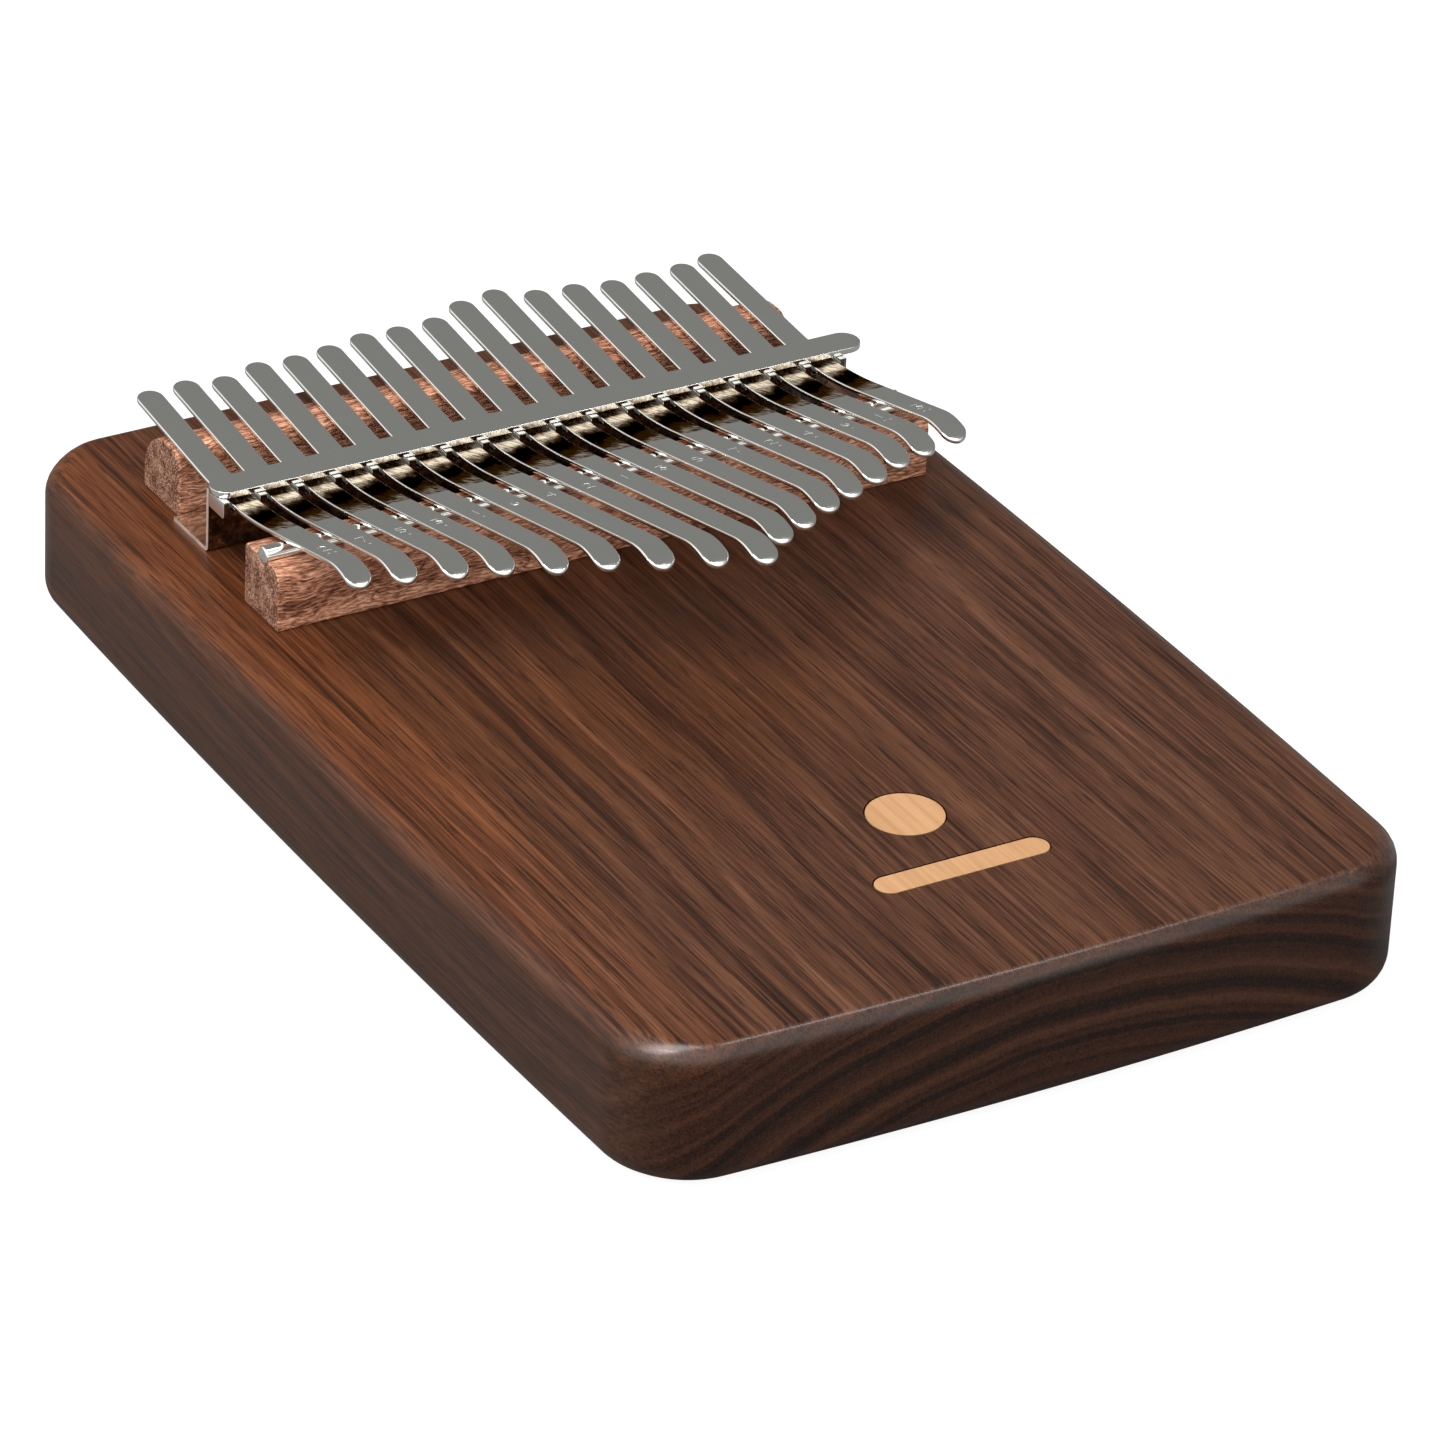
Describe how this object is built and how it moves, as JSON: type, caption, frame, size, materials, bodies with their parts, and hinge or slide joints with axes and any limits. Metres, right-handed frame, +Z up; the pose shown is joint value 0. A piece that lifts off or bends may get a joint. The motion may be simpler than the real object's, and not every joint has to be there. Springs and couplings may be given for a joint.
{
  "type": "mbira (thumb piano)",
  "caption": "Board mbira with flat spring-steel tines clamped over two wooden bars, a steel bracket and a bearing rod; each tine plucks about the rod.",
  "frame": {"origin": "centre of the board's flat underside", "axes": "+Z up from the underside, +Y towards the tines' rear ends, +X across the tines to the right when seen from the playing end"},
  "size_m": [0.134, 0.2, 0.046],
  "materials": {
    "walnut": "satin oiled walnut with dark streaks along the grain",
    "maple": "smooth pale inlay, flush with the board",
    "redwood": "open-pored reddish-brown wood, matt",
    "polished_steel": "bright polished steel",
    "spring_steel": "finely polished spring steel with bright rounded edges"
  },
  "bodies": {
    "root": {"board": "walnut", "inlay_disc": "maple", "inlay_bar": "maple", "rear_bar": "redwood", "front_bar": "redwood", "front_rod": "polished_steel", "bracket": "polished_steel", "anvil_bar": "polished_steel", "clamp_strip": "polished_steel", "bracket_screw_1": "polished_steel", "bracket_screw_2": "polished_steel", "bracket_screw_3": "polished_steel", "bracket_screw_4": "polished_steel", "tine_1_root": "spring_steel", "tine_2_root": "spring_steel", "tine_3_root": "spring_steel", "tine_4_root": "spring_steel", "tine_5_root": "spring_steel", "tine_6_root": "spring_steel", "tine_7_root": "spring_steel", "tine_8_root": "spring_steel", "tine_9_root": "spring_steel", "tine_10_root": "spring_steel", "tine_11_root": "spring_steel", "tine_12_root": "spring_steel", "tine_13_root": "spring_steel", "tine_14_root": "spring_steel", "tine_15_root": "spring_steel", "tine_16_root": "spring_steel", "tine_17_root": "spring_steel"},
    "tongue_1": {"tine_1_tongue": "spring_steel"},
    "tongue_2": {"tine_2_tongue": "spring_steel"},
    "tongue_3": {"tine_3_tongue": "spring_steel"},
    "tongue_4": {"tine_4_tongue": "spring_steel"},
    "tongue_5": {"tine_5_tongue": "spring_steel"},
    "tongue_6": {"tine_6_tongue": "spring_steel"},
    "tongue_7": {"tine_7_tongue": "spring_steel"},
    "tongue_8": {"tine_8_tongue": "spring_steel"},
    "tongue_9": {"tine_9_tongue": "spring_steel"},
    "tongue_10": {"tine_10_tongue": "spring_steel"},
    "tongue_11": {"tine_11_tongue": "spring_steel"},
    "tongue_12": {"tine_12_tongue": "spring_steel"},
    "tongue_13": {"tine_13_tongue": "spring_steel"},
    "tongue_14": {"tine_14_tongue": "spring_steel"},
    "tongue_15": {"tine_15_tongue": "spring_steel"},
    "tongue_16": {"tine_16_tongue": "spring_steel"},
    "tongue_17": {"tine_17_tongue": "spring_steel"}
  },
  "joints": [
    {"name": "pluck_1", "type": "hinge", "parent": "root", "child": "tongue_1", "pos_m": [-0.0502, 0.0365, 0.0357], "axis": [1, 0, 0], "range_deg": [-4, 6], "stiffness_Nm_per_rad": 0.05},
    {"name": "pluck_2", "type": "hinge", "parent": "root", "child": "tongue_2", "pos_m": [-0.0438, 0.0365, 0.0357], "axis": [1, 0, 0], "range_deg": [-4, 6], "stiffness_Nm_per_rad": 0.05},
    {"name": "pluck_3", "type": "hinge", "parent": "root", "child": "tongue_3", "pos_m": [-0.0374, 0.0365, 0.0357], "axis": [1, 0, 0], "range_deg": [-4, 6], "stiffness_Nm_per_rad": 0.05},
    {"name": "pluck_4", "type": "hinge", "parent": "root", "child": "tongue_4", "pos_m": [-0.031, 0.0365, 0.0357], "axis": [1, 0, 0], "range_deg": [-4, 6], "stiffness_Nm_per_rad": 0.05},
    {"name": "pluck_5", "type": "hinge", "parent": "root", "child": "tongue_5", "pos_m": [-0.0246, 0.0365, 0.0357], "axis": [1, 0, 0], "range_deg": [-4, 6], "stiffness_Nm_per_rad": 0.05},
    {"name": "pluck_6", "type": "hinge", "parent": "root", "child": "tongue_6", "pos_m": [-0.0182, 0.0365, 0.0357], "axis": [1, 0, 0], "range_deg": [-4, 6], "stiffness_Nm_per_rad": 0.05},
    {"name": "pluck_7", "type": "hinge", "parent": "root", "child": "tongue_7", "pos_m": [-0.0118, 0.0365, 0.0357], "axis": [1, 0, 0], "range_deg": [-4, 6], "stiffness_Nm_per_rad": 0.05},
    {"name": "pluck_8", "type": "hinge", "parent": "root", "child": "tongue_8", "pos_m": [-0.0054, 0.0365, 0.0357], "axis": [1, 0, 0], "range_deg": [-4, 6], "stiffness_Nm_per_rad": 0.05},
    {"name": "pluck_9", "type": "hinge", "parent": "root", "child": "tongue_9", "pos_m": [0.001, 0.0365, 0.0357], "axis": [1, 0, 0], "range_deg": [-4, 6], "stiffness_Nm_per_rad": 0.05},
    {"name": "pluck_10", "type": "hinge", "parent": "root", "child": "tongue_10", "pos_m": [0.0074, 0.0365, 0.0357], "axis": [1, 0, 0], "range_deg": [-4, 6], "stiffness_Nm_per_rad": 0.05},
    {"name": "pluck_11", "type": "hinge", "parent": "root", "child": "tongue_11", "pos_m": [0.0138, 0.0365, 0.0357], "axis": [1, 0, 0], "range_deg": [-4, 6], "stiffness_Nm_per_rad": 0.05},
    {"name": "pluck_12", "type": "hinge", "parent": "root", "child": "tongue_12", "pos_m": [0.0202, 0.0365, 0.0357], "axis": [1, 0, 0], "range_deg": [-4, 6], "stiffness_Nm_per_rad": 0.05},
    {"name": "pluck_13", "type": "hinge", "parent": "root", "child": "tongue_13", "pos_m": [0.0266, 0.0365, 0.0357], "axis": [1, 0, 0], "range_deg": [-4, 6], "stiffness_Nm_per_rad": 0.05},
    {"name": "pluck_14", "type": "hinge", "parent": "root", "child": "tongue_14", "pos_m": [0.033, 0.0365, 0.0357], "axis": [1, 0, 0], "range_deg": [-4, 6], "stiffness_Nm_per_rad": 0.05},
    {"name": "pluck_15", "type": "hinge", "parent": "root", "child": "tongue_15", "pos_m": [0.0394, 0.0365, 0.0357], "axis": [1, 0, 0], "range_deg": [-4, 6], "stiffness_Nm_per_rad": 0.05},
    {"name": "pluck_16", "type": "hinge", "parent": "root", "child": "tongue_16", "pos_m": [0.0458, 0.0365, 0.0357], "axis": [1, 0, 0], "range_deg": [-4, 6], "stiffness_Nm_per_rad": 0.05},
    {"name": "pluck_17", "type": "hinge", "parent": "root", "child": "tongue_17", "pos_m": [0.0522, 0.0365, 0.0357], "axis": [1, 0, 0], "range_deg": [-4, 6], "stiffness_Nm_per_rad": 0.05}
  ]
}
